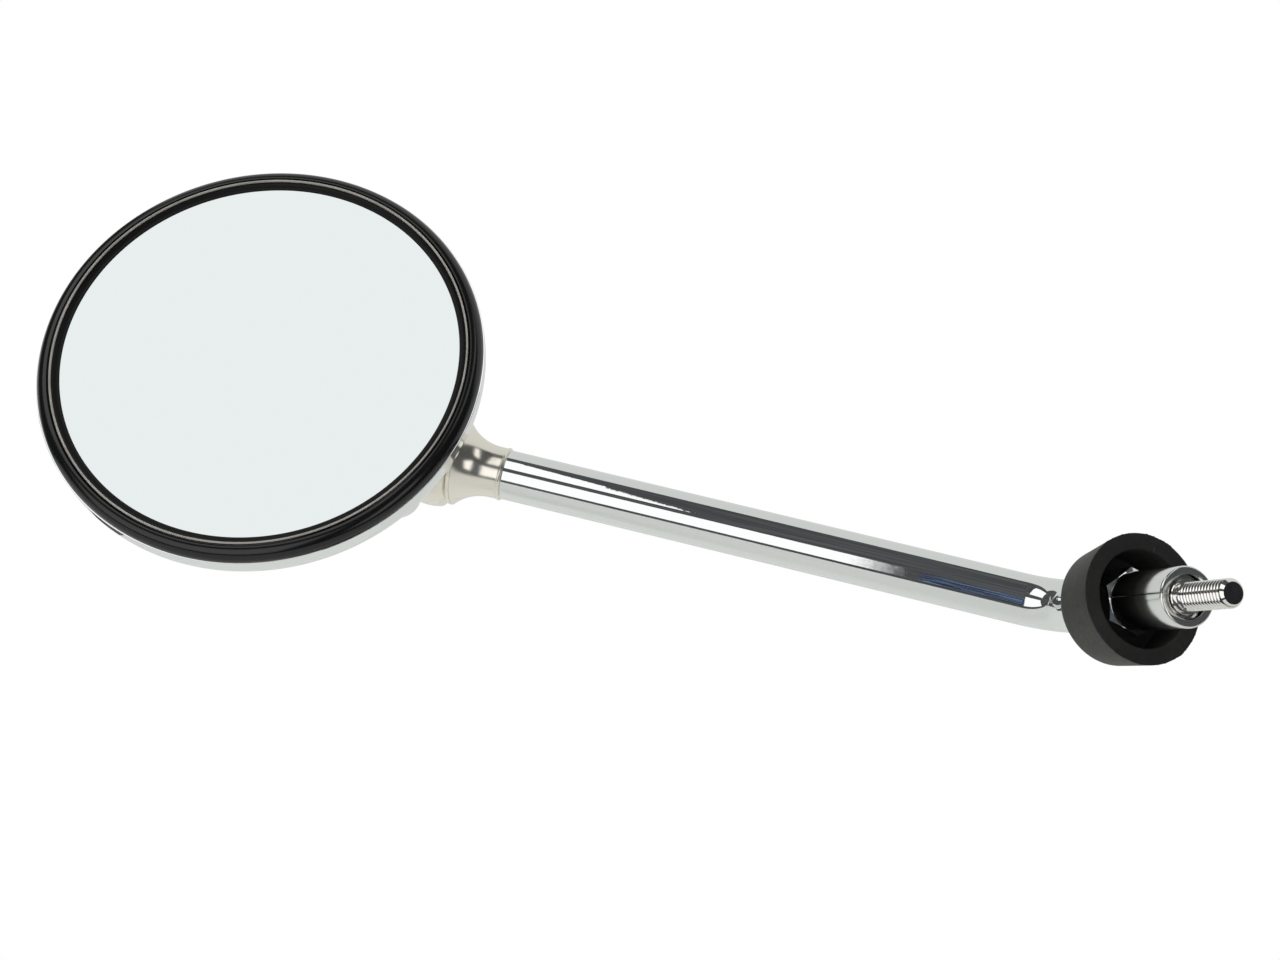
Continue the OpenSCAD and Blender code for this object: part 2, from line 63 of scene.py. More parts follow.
def linear(colour):
    """The linear colour of an sRGB hex colour."""
    parts = [int(colour[i:i + 2], 16) / 255 for i in (1, 3, 5)]
    return [c / 12.92 if c <= 0.04045 else ((c + 0.055) / 1.055) ** 2.4 for c in parts] + [1.0]


def per_metre(size):
    """Pattern scale, in cells to the metre, of cells this many millimetres across."""
    return 1000 / size


def add(tree, kind, inputs=(), **settings):
    """Adds a node with its settings; each input takes a value or another node's output."""
    made = tree.nodes.new(kind)
    for name, value in settings.items():
        setattr(made, name, value)
    for name, value in dict(inputs).items():
        if isinstance(value, bpy.types.NodeSocket):
            tree.links.new(value, made.inputs[name])
        else:
            made.inputs[name].default_value = value
    return made


def new_material(name):
    """An empty material and its node tree."""
    made = bpy.data.materials.new(name)
    made.use_nodes = True
    made.node_tree.nodes.clear()
    return made, made.node_tree


def new_piece(name, points, faces, material):
    """A mesh object in the shared frame, with one material."""
    mesh = bpy.data.meshes.new(name)
    mesh.from_pydata(points, [], faces)
    mesh.materials.append(material)
    piece = bpy.data.objects.new(name, mesh)
    bpy.context.scene.collection.objects.link(piece)
    return piece


world = bpy.data.worlds.new("pale_room")
bpy.context.scene.world = world
world.use_nodes = True
room = world.node_tree
room.nodes.clear()
room_grey = add(room, "ShaderNodeBackground", {"Color": linear("#DBDDDB"), "Strength": 1.0})
room_white = add(room, "ShaderNodeBackground", {"Color": linear("#FFFFFF"), "Strength": 1.0})
room_path = add(room, "ShaderNodeLightPath")
room_mix = add(room, "ShaderNodeMixShader", {
    0: room_path.outputs["Is Camera Ray"], 1: room_grey.outputs[0], 2: room_white.outputs[0]})
add(room, "ShaderNodeOutputWorld", {"Surface": room_mix.outputs[0]})

# The studio's cards stand round the arm's axis. A corner is an angle in degrees, from the camera
# upwards, and a place in metres along the arm towards the head.
arm_start = Vector((0.0, 0.0642409, 0.0))
arm_way = Vector((-0.9242798, 0.3817157, 0.0))
to_camera = camera_place - arm_start
arm_front = (to_camera - to_camera.dot(arm_way) * arm_way).normalized()
arm_up = arm_way.cross(arm_front)


def tear(along):
    """An uneven tear along a cloth's edge, from -1 to 1, made of three waves."""
    waves = ((97, 1, 1.0), (211, 0, 0.8), (487, 2, 0.7))
    depth = sum(height for rate, start, height in waves)
    return sum(height * math.sin(rate * along + start) for rate, start, height in waves) / depth


def studio_card(name, low, high, distance, material, torn_top=0.0, torn_end=0.0):
    """A curved card; low and high are the (angle, place) of the ends of its low and high edge."""
    steps = 160 if torn_top or torn_end else 12
    tears_per_metre = 9
    tears_per_degree = 0.11
    fading = 8
    points, faces = [], []
    for i in range(steps + 1):
        for j in range(steps + 1):
            u, v = i / steps, j / steps
            below = [a + (b - a) * u for a, b in zip(*low)]
            above = [a + (b - a) * u for a, b in zip(*high)]
            angle, place = [a + (b - a) * v for a, b in zip(below, above)]
            angle += torn_top * tear(place * tears_per_metre) * v ** fading
            place += torn_end * tear(angle * tears_per_degree) * (1 - u) ** fading
            turn = math.radians(angle)
            points.append(arm_start + place * arm_way
                          + distance * (math.cos(turn) * arm_front + math.sin(turn) * arm_up))
    for i in range(steps):
        for j in range(steps):
            k = i * (steps + 1) + j
            faces.append((k, k + 1, k + steps + 2, k + steps + 1))
    card = new_piece(name, points, faces, material)
    card.visible_camera = False


def hung_cloth(name, dark, light, fold, detail, thin=0.0, thick=1.0):
    """A cloth that glows with a set brightness from all sides, standing in for the light on it, with
    painted light and shade in its folds between two colours.
    """
    made, tree = new_material(name)
    place = add(tree, "ShaderNodeTexCoord")
    folds = add(tree, "ShaderNodeTexNoise", {
        "Vector": place.outputs["Object"], "Scale": per_metre(fold), "Detail": detail})
    share = add(tree, "ShaderNodeMapRange", {
        "Value": folds.outputs[0], "From Min": thin, "From Max": thick})
    tint = add(tree, "ShaderNodeMix", {
        0: share.outputs[0], 6: linear(dark), 7: linear(light)}, data_type="RGBA")
    surface = add(tree, "ShaderNodeEmission", {"Color": tint.outputs[2], "Strength": 1.0})
    add(tree, "ShaderNodeOutputMaterial", {"Surface": surface.outputs[0]})
    return made


# Dark curtain with folds 143 mm apart, in front of the arm and behind the head's end. Walls of
# the same cloth close the studio at both ends of the arm.
curtain_cloth = hung_cloth("dark_curtain_cloth", "#1C1D20", "#6C6E70", fold=143, detail=3.0)
curtain_distance = 1.05
studio_card("curtain", ((-38, -1.6), (-38, 1.5)), ((84, -1.6), (84, 1.5)),
            curtain_distance, curtain_cloth)
studio_card("curtain_behind", ((196, 0.9), (196, 1.5)), ((300, 0.9), (300, 1.5)),
            curtain_distance, curtain_cloth)
wall_r = 1.2
wall_steps = 48
for name, wall_place, low, high in (("head_wall", 1.45, -145, 145), ("mount_wall", -1.6, -40, 110)):
    wall_middle = arm_start + wall_place * arm_way
    turns = [math.radians(low + (high - low) * i / wall_steps) for i in range(wall_steps + 1)]
    points = [wall_middle + wall_r * (math.cos(t) * arm_front + math.sin(t) * arm_up) for t in turns]
    points.append(wall_middle)
    wall = new_piece(name, points, [tuple(range(len(points)))], curtain_cloth)
    wall.visible_camera = False

# White diffusers, lit from behind. Their torn edges give the chrome's stripes uneven ends.
diffuser_cloth, tree = new_material("white_diffuser_cloth")
surface = add(tree, "ShaderNodeEmission", {"Color": linear("#FFFFFF"), "Strength": 1.2})
add(tree, "ShaderNodeOutputMaterial", {"Surface": surface.outputs[0]})
diffuser_distance = 0.9
studio_card("diffuser_corner", ((28, 0.21), (28, 0.29)), ((31, 0.21), (50, 0.29)),
            diffuser_distance, diffuser_cloth, torn_top=5)
studio_card("diffuser_step", ((28, 0.285), (28, 0.37)), ((54, 0.285), (66, 0.37)),
            diffuser_distance, diffuser_cloth, torn_top=1.5)
studio_card("diffuser_upper", ((28, 0.36), (28, 1.4)), ((66, 0.36), (72, 1.4)),
            diffuser_distance + 0.001, diffuser_cloth)
studio_card("window_upper", ((48, -0.32), (36, -0.1)), ((77, -0.25), (78, -0.09)),
            diffuser_distance, diffuser_cloth)
studio_card("window_lower", ((-15, -0.78), (-20, -0.37)), ((15, -0.94), (23, -0.35)),
            diffuser_distance, diffuser_cloth)
studio_card("diffuser_front", ((-28, 0.04), (-28, 1.3)), ((13, 0.04), (10, 1.2)),
            diffuser_distance, diffuser_cloth, torn_end=0.04)

# Blue cloth beside the diffusers, creased every 33 mm: the blue glint near the bend.
blue_cloth = hung_cloth("blue_cloth", "#23272F", "#93ABD6",
                        fold=33.3, detail=4.0, thin=0.45, thick=0.75)
studio_card("blue_cloth", ((-27, -0.08), (-27, 0.0)), ((5, -0.08), (9, 0.0)),
            diffuser_distance, blue_cloth, torn_top=4)

# The table's front edge runs level with the arm and leaves a dark gap under the curtain. For the
# camera alone its paint is mixed with plain white, so that it stays close to the background.
table_paint, tree = new_material("pale_table_paint")
paint = add(tree, "ShaderNodeBsdfDiffuse", {"Color": linear("#F2F3F1")})
bright = add(tree, "ShaderNodeEmission", {"Color": linear("#FFFFFF"), "Strength": 1.0})
path = add(tree, "ShaderNodeLightPath")
share = add(tree, "ShaderNodeMath", {0: path.outputs["Is Camera Ray"], 1: 0.6}, operation="MULTIPLY")
seen = add(tree, "ShaderNodeMixShader", {0: share.outputs[0], 1: paint.outputs[0], 2: bright.outputs[0]})
add(tree, "ShaderNodeOutputMaterial", {"Surface": seen.outputs[0]})
table_drop = 0.3
table_ahead = 0.25
table_depth = 0.6
table_side = 1.2
level_front = Vector((-arm_way.y, arm_way.x, 0.0))
table_corners = [(-table_side, table_ahead), (table_side, table_ahead),
                 (table_side, -table_depth), (-table_side, -table_depth)]
table = new_piece("table", [
    arm_start + arm_way * side + level_front * out - Vector((0, 0, table_drop))
    for side, out in table_corners], [(0, 1, 2, 3)], table_paint)

lamp_data = bpy.data.lights.new("soft_light", "AREA")
lamp_data.shape = "DISK"
lamp_data.size = 1.2
lamp_data.energy = 12.0
lamp = bpy.data.objects.new("soft_light", lamp_data)
lamp.location = (-0.2, -0.1, 1.4)
lamp.visible_glossy = False
bpy.context.scene.collection.objects.link(lamp)

# Stem tube
# Drawn steel tube, 16 mm across with a 1.5 mm wall, bent once close to the mount, polished and
# chromed. Its end at the neck is broken round, which gives the fine line there.
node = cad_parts


def smooth(piece):
    """Smooth faces, with sharp edges where two faces meet at more than 35 degrees."""
    piece.data.shade_smooth()
    piece.data.set_sharp_from_angle(angle=math.radians(35))


def dress(material, *names):
    """Gives CAD nodes the material and smooths them."""
    for name in names:
        node[name].data.materials.clear()
        node[name].data.materials.append(material)
        smooth(node[name])


def weld(piece):
    """Joins points that lie on each other and turns all faces outwards."""
    mesh = bmesh.new()
    mesh.from_mesh(piece.data)
    bmesh.ops.remove_doubles(mesh, verts=mesh.verts, dist=1e-6)
    bmesh.ops.dissolve_degenerate(mesh, edges=mesh.edges, dist=1e-7)
    bmesh.ops.recalc_face_normals(mesh, faces=mesh.faces)
    mesh.to_mesh(piece.data)
    mesh.free()


# Bright chrome on polished steel: a clear mirror with a trace of polishing haze in patches of
# 11 mm and faint ripples 3 mm apart.
chrome, tree = new_material("chrome_on_polished_steel")
place = add(tree, "ShaderNodeTexCoord")
haze = add(tree, "ShaderNodeTexNoise", {
    "Vector": place.outputs["Object"], "Scale": per_metre(11.1), "Detail": 3.0})
rough = add(tree, "ShaderNodeMapRange", {
    "Value": haze.outputs[0], "From Min": 0.35, "From Max": 0.75, "To Min": 0.02, "To Max": 0.05})
ripple = add(tree, "ShaderNodeTexNoise", {
    "Vector": place.outputs["Object"], "Scale": per_metre(2.86), "Detail": 1.0})
bump = add(tree, "ShaderNodeBump", {"Height": ripple.outputs[0], "Strength": 0.04, "Distance": 0.0002})
body = add(tree, "ShaderNodeBsdfPrincipled", {
    "Base Color": linear("#E9EBEA"), "Metallic": 1.0,
    "Roughness": rough.outputs[0], "Normal": bump.outputs[0]})
add(tree, "ShaderNodeOutputMaterial", {"Surface": body.outputs[0]})

tube_r = 0.008
tube_bore_r = 0.0065
tube_end_long = 0.0004
tube_end_round = 0.0003
lead_start = 0.032
bend_start = 0.0522
bend_r = 0.018
bend_angle = 67.56
arm_length = 0.1655
bend_steps = 40
arm_steps = 12
tube_around = 128

# Each station is a ring's centre on the tube's axis and how far the tube has turned there.
bend_turn = math.radians(bend_angle)
stations = [(Vector((0, lead_start, 0)), 0.0)]
for i in range(bend_steps + 1):
    turn = bend_turn * i / bend_steps
    centre = Vector((bend_r * (math.cos(turn) - 1), bend_start + bend_r * math.sin(turn), 0))
    stations.append((centre, turn))
bend_end = stations[-1][0]
arm_end = bend_end + arm_way * arm_length
for i in range(1, arm_steps):
    stations.append((bend_end + arm_way * arm_length * i / arm_steps, bend_turn))
stations.append((arm_end - arm_way * tube_end_long, bend_turn))
stations.append((arm_end, bend_turn))

outside = [(centre, turn, tube_r) for centre, turn in stations[:-1]]
outside.append((arm_end, bend_turn, tube_r - tube_end_round))
inside = [(centre, turn, tube_bore_r) for centre, turn in reversed(stations)]
points, faces = [], []
for centre, turn, r in outside + inside:
    out_way = Vector((math.cos(turn), math.sin(turn), 0))
    for k in range(tube_around):
        spin = math.tau * k / tube_around
        points.append(centre + r * (math.cos(spin) * out_way + math.sin(spin) * Vector((0, 0, 1))))
rings = len(outside) + len(inside)
for i in range(rings):
    this_ring = i * tube_around
    next_ring = (i + 1) % rings * tube_around
    for k in range(tube_around):
        next_k = (k + 1) % tube_around
        faces.append((this_ring + k, this_ring + next_k, next_ring + next_k, next_ring + k))
bent_tube = new_piece("bent_tube", points, faces, chrome)
weld(bent_tube)
smooth(bent_tube)
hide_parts("stem_tube")
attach(bent_tube, "stem")

# Hexagon fitting
# Turned hexagon, 17 mm across its flats with chamfered corners, brazed into the tube and chromed
# with it. Only its front edge shows, deep in the rubber cup.
dress(chrome, "hex_fitting")

# Threaded stud
# Turned steel stud with a rolled M8 thread, zinc plated bright. The end was left dark where the
# bar was cut off. It carries a low shoulder and the collar that holds the sleeve.
pitch = 1.25
crest_r = 3.96
root_r = 3.22
tip = -18.8
tip_chamfer = 1.0
thread_end = -0.2

# Bright zinc on turned steel: like the chrome but warmer and hazier, in patches of 2.5 mm, with
# grime and painted shade down in the thread's roots, and the chamfer at the end kept bright.
zinc, tree = new_material("bright_zinc_on_turned_steel")
place = add(tree, "ShaderNodeTexCoord")
haze = add(tree, "ShaderNodeTexNoise", {
    "Vector": place.outputs["Object"], "Scale": per_metre(2.5), "Detail": 3.0})
rough = add(tree, "ShaderNodeMapRange", {"Value": haze.outputs[0], "To Min": 0.04, "To Max": 0.12})
axes = add(tree, "ShaderNodeSeparateXYZ", {0: place.outputs["Object"]})
flat = add(tree, "ShaderNodeCombineXYZ", {0: axes.outputs[0], 2: axes.outputs[2]})
reach = add(tree, "ShaderNodeVectorMath", {0: flat.outputs[0]}, operation="LENGTH")
crest = add(tree, "ShaderNodeMapRange", {
    "Value": reach.outputs["Value"], "From Min": 0.0033, "From Max": 0.0037})
end = add(tree, "ShaderNodeMapRange", {
    "Value": axes.outputs[1], "From Min": -0.0176, "From Max": -0.0179})
outside_roots = add(tree, "ShaderNodeMath", {0: crest.outputs[0], 1: end.outputs[0]}, operation="MAXIMUM")
# The roots' dark colour is grime and painted shade; the crests and the end chamfer keep the bright zinc.
tint = add(tree, "ShaderNodeMix", {
    0: outside_roots.outputs[0], 6: linear("#4A4540"), 7: linear("#F0EEEA")}, data_type="RGBA")
body = add(tree, "ShaderNodeBsdfPrincipled", {
    "Base Color": tint.outputs[2], "Metallic": 1.0, "Roughness": rough.outputs[0]})
add(tree, "ShaderNodeOutputMaterial", {"Surface": body.outputs[0]})


def mottled(name, dark, light, patch, detail, rough, metallic=0.0):
    """A material that wanders between two colours, in patches this many millimetres across."""
    made, tree = new_material(name)
    place = add(tree, "ShaderNodeTexCoord")
    patches = add(tree, "ShaderNodeTexNoise", {
        "Vector": place.outputs["Object"], "Scale": per_metre(patch), "Detail": detail})
    tint = add(tree, "ShaderNodeMix", {
        0: patches.outputs[0], 6: linear(dark), 7: linear(light)}, data_type="RGBA")
    body = add(tree, "ShaderNodeBsdfPrincipled", {
        "Base Color": tint.outputs[2], "Metallic": metallic, "Roughness": rough})
    add(tree, "ShaderNodeOutputMaterial", {"Surface": body.outputs[0]})
    return made


# Dark cut steel: the sawn end keeps a grey, uneven scale. The saw's marks are finer on the real
# one; they are drawn 1.4 mm wide so that they show.
cut_steel = mottled("sawn_steel_end", "#1C1C1E", "#46464A",
                    patch=1.43, detail=4.0, rough=0.55, metallic=0.6)


def turned(name, profile, matrix, material, around=160, closed=True, gap=None):
    """A turned piece: (radius, height) points in millimetres round the matrix's z axis.

    closed joins the last point to the first; gap is the (middle, width) of a slit in degrees.
    """
    start, sweep = (gap[0] + gap[1] / 2, 360 - gap[1]) if gap else (0, 360)
    columns = around + 1 if gap else around
    points, faces = [], []
    for r, z in profile:
        for k in range(columns):
            spin = math.radians(start + sweep * k / around)
            points.append(matrix @ Vector((r * math.cos(spin), r * math.sin(spin), z)))
    rings = len(profile)
    for i in range(rings if closed else rings - 1):
        this_ring = i * columns
        next_ring = (i + 1) % rings * columns
        for k in range(around):
            next_k = (k + 1) % columns
            faces.append((this_ring + k, this_ring + next_k, next_ring + next_k, next_ring + k))
    if gap:
        faces.append(tuple(i * columns for i in range(rings)))
        faces.append(tuple(i * columns + around for i in range(rings)))
    piece = new_piece(name, points, faces, material)
    weld(piece)
    smooth(piece)
    return piece


def arc(x, z, r, start, end, steps=8):
    """Points of an arc about (x, z), between two angles in degrees."""
    turns = [math.radians(start + (end - start) * i / steps) for i in range(steps + 1)]
    return [(x + r * math.cos(t), z + r * math.sin(t)) for t in turns]


# The stud's own frame has its z axis along the stud, back towards the bend.
millimetre = Matrix.Scale(0.001, 4)
stud_frame = Matrix.Rotation(math.radians(-90), 4, "X") @ millimetre

# The thread's wave over one pitch: how far along the pitch, and how deep, from crest to root.
wave = ((0.0, 0.0), (0.06, 0.0), (0.12, 0.06), (0.42, 0.94),
        (0.5, 1.0), (0.58, 0.94), (0.88, 0.06), (0.94, 0.0))
turn_steps = 72
turn_count = int((thread_end - tip) / pitch) + 3
points, faces = [], []
for k in range(turn_count * turn_steps + 1):
    spin = math.tau * k / turn_steps
    for along, depth in wave:
        y = min(max(tip + (k / turn_steps - 1 + along) * pitch, tip), thread_end)
        run_out = min(1.0, (thread_end - y) / pitch)
        thread_r = crest_r - (crest_r - root_r) * depth * run_out
        r = min(thread_r, crest_r - tip_chamfer + (y - tip))
        points.append(stud_frame @ Vector((r * math.cos(spin), r * math.sin(spin), y)))
width = len(wave)
for k in range(turn_count * turn_steps):
    a = k * width
    b = a + turn_steps * width
    for j in range(width - 1):
        faces.append((a + j, a + j + width, a + j + width + 1, a + j + 1))
    if b + width < len(points):
        faces.append((a + width - 1, a + 2 * width - 1, b + width, b))
thread = new_piece("stud_thread", points, faces, zinc)
weld(thread)
smooth(thread)

shank_r = 4.0
low_shoulder_r = 4.9
low_shoulder_z = 0.6
collar_r = 5.9
collar_z = 3.5
collar_end = 24.0
spigot_r = 5.0
spigot_end = 42.0
edge_break = 0.2
centre_r = 0.01
shank = turned("stud_shank", [
    (crest_r, thread_end), (shank_r, 0.3), (shank_r, low_shoulder_z),
    (low_shoulder_r - edge_break, low_shoulder_z),
    (low_shoulder_r, low_shoulder_z + edge_break), (low_shoulder_r, collar_z),
    (collar_r - edge_break, collar_z), (collar_r, collar_z + edge_break), (collar_r, collar_end),
    (spigot_r, collar_end), (spigot_r, spigot_end), (centre_r, spigot_end)],
    stud_frame, zinc, closed=False)
cut_r = 2.98
saw_pit = 0.12
saw_pit_r = 1.5
cut_end = turned("stud_end", [
    (centre_r, tip + saw_pit), (saw_pit_r - 0.4, tip + saw_pit - 0.02), (saw_pit_r, tip + 0.02),
    (cut_r - 0.28, tip), (cut_r, tip)],
    stud_frame, cut_steel, closed=False)
for piece in (thread, shank, cut_end):
    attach(piece, "stem")
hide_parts("stud")

# Spacer sleeve
# Rolled steel spacer, 16.9 mm across and 24 mm long, with its edges rounded and a fine butt seam
# on the side that faces the arm. Chromed.
sleeve_r = 8.45
sleeve_bore_r = 5.95
sleeve_long = 24.0
sleeve_round = 0.8
seam_at = 171
seam_width = 1.6


def hazed(name, colour, patch, detail, rough, metallic=0.0, specular=0.5):
    """A one-coloured material whose roughness wanders, in patches this many millimetres across."""
    made, tree = new_material(name)
    place = add(tree, "ShaderNodeTexCoord")
    haze = add(tree, "ShaderNodeTexNoise", {
        "Vector": place.outputs["Object"], "Scale": per_metre(patch), "Detail": detail})
    spread = add(tree, "ShaderNodeMapRange", {
        "Value": haze.outputs[0], "To Min": rough[0], "To Max": rough[1]})
    body = add(tree, "ShaderNodeBsdfPrincipled", {
        "Base Color": linear(colour), "Metallic": metallic,
        "Roughness": spread.outputs[0], "Specular IOR Level": specular})
    add(tree, "ShaderNodeOutputMaterial", {"Surface": body.outputs[0]})
    return made


# Satin chrome: the rolled sheet was plated without polishing, so its reflections are soft and
# its haze changes every 4 mm.
satin_chrome = hazed("chrome_on_rolled_sheet", "#E4E5E2",
                     patch=4.0, detail=4.0, rough=(0.09, 0.18), metallic=1.0)

sleeve_profile = (
    [(sleeve_bore_r, 0.5), (sleeve_bore_r + 0.2, 0.15), (sleeve_bore_r + 0.55, 0.0)]
    + arc(sleeve_r - sleeve_round, sleeve_round, sleeve_round, -90, 0)
    + arc(sleeve_r - sleeve_round, sleeve_long - sleeve_round, sleeve_round, 0, 90)
    + [(sleeve_bore_r, sleeve_long)])
rolled_sleeve = turned("rolled_sleeve", sleeve_profile, stud_frame, satin_chrome,
                       gap=(seam_at, seam_width))
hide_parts("spacer_sleeve")
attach(rolled_sleeve, "stem")

# Rubber cup
# Moulded natural rubber cup, 38 mm across at its mouth. The mould left a torn fin of flash round
# the mouth's edge and there is one nick in its face.
mouth_z = 20.3
mouth_r = 18.77
bore_r = 14.1
floor_z = 33.6
back_z = 37.6
back_r = 17.1
back_round = 3.2
hole_r = 8.1
cup_edge = 0.2
fin_height = 0.21


def moulded(name, dark, light):
    """Matt moulded rubber between two greys, with a grain and larger patches."""
    made, tree = new_material(name)
    place = add(tree, "ShaderNodeTexCoord")
    grain = add(tree, "ShaderNodeTexNoise", {
        "Vector": place.outputs["Object"], "Scale": per_metre(1.43), "Detail": 5.0})
    patch = add(tree, "ShaderNodeTexNoise", {
        "Vector": place.outputs["Object"], "Scale": per_metre(11.1), "Detail": 3.0})
    both = add(tree, "ShaderNodeMath", {0: grain.outputs[0], 1: patch.outputs[0]}, operation="MULTIPLY")
    tint = add(tree, "ShaderNodeMix", {
        0: both.outputs[0], 6: linear(dark), 7: linear(light)}, data_type="RGBA")
    bump = add(tree, "ShaderNodeBump", {"Height": grain.outputs[0], "Strength": 0.3, "Distance": 0.0002})
    body = add(tree, "ShaderNodeBsdfPrincipled", {
        "Base Color": tint.outputs[2], "Roughness": 0.6,
        "Specular IOR Level": 0.35, "Normal": bump.outputs[0]})
    add(tree, "ShaderNodeOutputMaterial", {"Surface": body.outputs[0]})
    return made


# Matt moulded rubber: charcoal, and paler on its outside, which is painted light from the bright
# room below that side. Its real grain is too fine to show, so it is drawn 1.4 mm wide, and both
# greys wander in patches of 11 mm.
moulded_rubber = moulded("moulded_rubber", "#1B1B1A", "#373735")
pale_rubber = moulded("pale_moulded_rubber", "#343431", "#5F5E58")

cup_profile = (
    [(bore_r, mouth_z + 0.5), (bore_r + cup_edge, mouth_z + cup_edge), (bore_r + 0.6, mouth_z),
     (mouth_r - cup_edge, mouth_z), (mouth_r, mouth_z + 0.05), (mouth_r, mouth_z + cup_edge),
     (mouth_r - 0.02, mouth_z + 0.5), (mouth_r - 0.03, mouth_z + 0.8)]
    + arc(back_r - back_round, back_z - back_round, back_round, 5, 90)
    + [(hole_r + cup_edge, back_z), (hole_r, back_z - cup_edge), (hole_r, floor_z),
       (bore_r - 0.3, floor_z), (bore_r, floor_z - 0.3)])
moulded_cup = turned("moulded_cup", cup_profile, stud_frame, moulded_rubber, around=360)


def off_axis(place):
    """Distance from the stud's axis in millimetres."""
    return math.hypot(place.x, place.z) * 1000


for point in moulded_cup.data.vertices:
    r = off_axis(point.co)
    if abs(r - mouth_r) < 0.01 and point.co.y * 1000 < mouth_z + 0.3:
        spin = math.atan2(point.co.z, point.co.x)
        slow_waves = math.sin(5 * spin + 2) * math.sin(11 * spin)
        quick_waves = math.sin(71 * spin) * math.sin(29 * spin + 1)
        fin = min(max(slow_waves + 0.6 * quick_waves, 0.0), 1.0)
        grown = 1 + fin * fin_height / r
        point.co.x *= grown
        point.co.z *= grown
# The cup's outside and back take the paler rubber: painted light, for the bright room that side faces.
moulded_cup.data.materials.append(pale_rubber)
for face in moulded_cup.data.polygons:
    if face.center.y * 1000 > mouth_z + 0.5 and off_axis(face.center) > bore_r + 0.8:
        face.material_index = 1

nick_turn = math.radians(-85)
nick_r = 15.0
nick_long = 2.6
nick_wide = 0.35
nick_out = Vector((math.cos(nick_turn), math.sin(nick_turn), 0))
nick_across = Vector((-nick_out.y, nick_out.x, 0))
nick_shape = [(-0.5, 0, -0.02), (0, -0.5, -0.01), (0.5, 0, -0.02), (0, 0.5, -0.1), (0, 0, 0.1)]
nick_points = [
    stud_frame @ ((nick_r + u * nick_long) * nick_out + v * nick_wide * nick_across
                  + Vector((0, 0, mouth_z + z))) for u, v, z in nick_shape]
nick = new_piece("cup_nick", nick_points, [
    (0, 1, 3), (1, 2, 3), (0, 4, 1), (1, 4, 2), (2, 4, 3), (3, 4, 0)], pale_rubber)

# The cup is loose on the tube: it hangs a little low and sits askew, with its mouth turned up.
# Its hole stays where the tube holds it.
cup_lean = math.radians(-7)
cup_drop = Vector((0, 0, -0.0012))
cup_pivot = Vector((0, 0.0356, 0))
askew = (Matrix.Translation(cup_pivot + cup_drop) @ Matrix.Rotation(cup_lean, 4, "X")
         @ Matrix.Translation(-cup_pivot))
hole_points = [(point.index, point.co.copy()) for point in moulded_cup.data.vertices
               if off_axis(point.co) < hole_r + cup_edge + 0.05]
for piece in (moulded_cup, nick):
    piece.data.transform(askew)
for index, held in hole_points:
    moulded_cup.data.vertices[index].co.x = held.x
    moulded_cup.data.vertices[index].co.z = held.z
for piece in (moulded_cup, nick):
    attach(piece, "cup")
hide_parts("rubber_cup")

# Neck
# Cast zinc neck, nickel plated: a spigot in the tube, a short waist with a fine bead against the
# tube's end, and a bell whose hollow seat takes the knuckle.
knuckle_at = 0.2000409
seat_r = 22.1
seat_centre = -12.0
seat_inner_turn = 81.675
seat_outer_turn = 55.43
bell_r = 13.5
bell_z = 6.8
bell_round = 0.6
step_r = 13.1
flare_r = 15.4
flare_x = 23.75
flare_z = 19.0
flare_turn = 46.9
waist_r = 8.35
tube_bead_x = 8.05
tube_bead_z = 21.9
tube_bead_r = 0.6
plug_r = 6.45
plug_hole_r = 3.2
plug_end = 34.4

# Nickel on cast zinc: warmer than chrome, and softened in patches of 8 mm by the casting below.
nickel = hazed("nickel_on_cast_zinc", "#F0EBE0",
               patch=8.33, detail=4.0, rough=(0.14, 0.24), metallic=1.0)

corner_frame = Matrix.Translation(arm_start) @ Matrix.Rotation(math.radians(bend_angle - 90), 4, "Z")
knuckle_frame = (corner_frame @ Matrix.Translation((-knuckle_at, 0, 0))
                 @ Matrix.Rotation(math.radians(90), 4, "Y") @ millimetre)
neck_profile = (
    arc(0, seat_centre, seat_r, seat_inner_turn, seat_outer_turn, 12)
    + arc(bell_r - bell_round, bell_z, bell_round, -90, 0, 6)
    + [(bell_r, 7.5), (bell_r - 0.08, 7.56), (step_r, 7.58), (step_r, 7.74)]
    + arc(flare_x, flare_z, flare_r, 180 + flare_turn, 180, 24)
    + [(waist_r, 21.38)]
    + arc(tube_bead_x, tube_bead_z, tube_bead_r, -60, 90)
    + [(plug_r, tube_bead_z + tube_bead_r), (plug_r, plug_end), (plug_hole_r, plug_end)])
bell_neck = turned("bell_neck", neck_profile, knuckle_frame, nickel)
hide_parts("neck")
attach(bell_neck, "stem")

# Knuckle joint
# Inside the knuckle: threaded rod with its plug and nut, domed washer and two disc springs, all
# plain steel. None of them shows.

# Plain steel: grey, oiled and finely scratched, with a haze that changes every 3 mm.
plain_steel = hazed("oiled_rolled_steel", "#8E8C88",
                    patch=3.33, detail=3.0, rough=(0.3, 0.5), metallic=1.0)
dress(plain_steel, "tube_plug", "ball_stud", "ball_nut",
      "domed_washer", "disc_spring_inner", "disc_spring_outer")

# Ball bracket
# Cast and nickel plated like the neck: hollow knuckle, web and round foot in one piece, on a thin
# rubber gasket.
dress(nickel, "ball_bracket")
dress(moulded_rubber, "bracket_gasket")

# Housing
# Pressed steel shell, 139 mm across, chromed: wall, rounded shoulder, low domed back with a flat
# pad for the bracket, and one small pressed boss on the shoulder.
house_r = 69.4
sheet_t = 0.8
house_mouth_z = -1.8
flange_r = 63.0
flange_z = -5.3
shoulder_x = 60.4
shoulder_z = -6.0
shoulder_r = 9.0
dome_r = 299.51
dome_z = 278.16
dome_middle = -89.998

